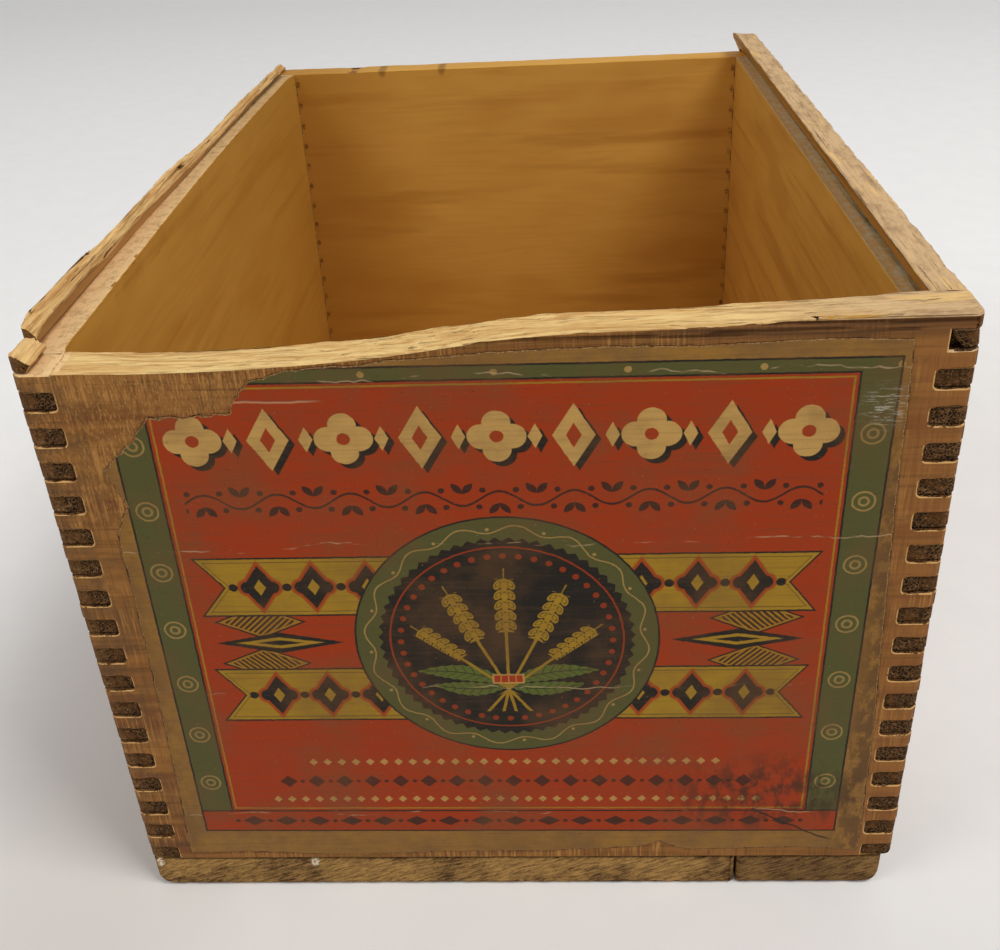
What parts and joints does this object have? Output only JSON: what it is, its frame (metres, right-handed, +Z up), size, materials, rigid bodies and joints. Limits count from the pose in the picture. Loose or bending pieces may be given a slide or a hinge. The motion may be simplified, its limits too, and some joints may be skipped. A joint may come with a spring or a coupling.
{
  "type": "finger-jointed wooden box",
  "caption": "Old finger-jointed wooden shop box with open top, grooves for a missing sliding lid, nailed plank bottom and a worn, coloured paper label on the front.",
  "frame": {"origin": "centre of the underside of the box's bounding box", "axes": "+Z up, labelled end board faces -Y, +X to the right of someone facing the label; the lid slides along Y"},
  "size_m": [0.1428, 0.1938, 0.1222],
  "materials": {
    "board_wood": "aged honey-brown pine, worn smooth, raw where it has split",
    "plank_wood": "darker aged pine with rough end grain",
    "nail_iron": "dark rusted cut nails",
    "label_paper": "old varnished printed paper, scuffed and creased"
  },
  "bodies": {
    "root": {"front_end_board": "board_wood", "rear_end_board": "board_wood", "left_side_board": "board_wood", "right_side_board": "board_wood", "bottom_plank_wide": "plank_wood", "bottom_plank_narrow": "plank_wood", "bottom_nails": "nail_iron", "front_label": "label_paper"}
  },
  "joints": []
}
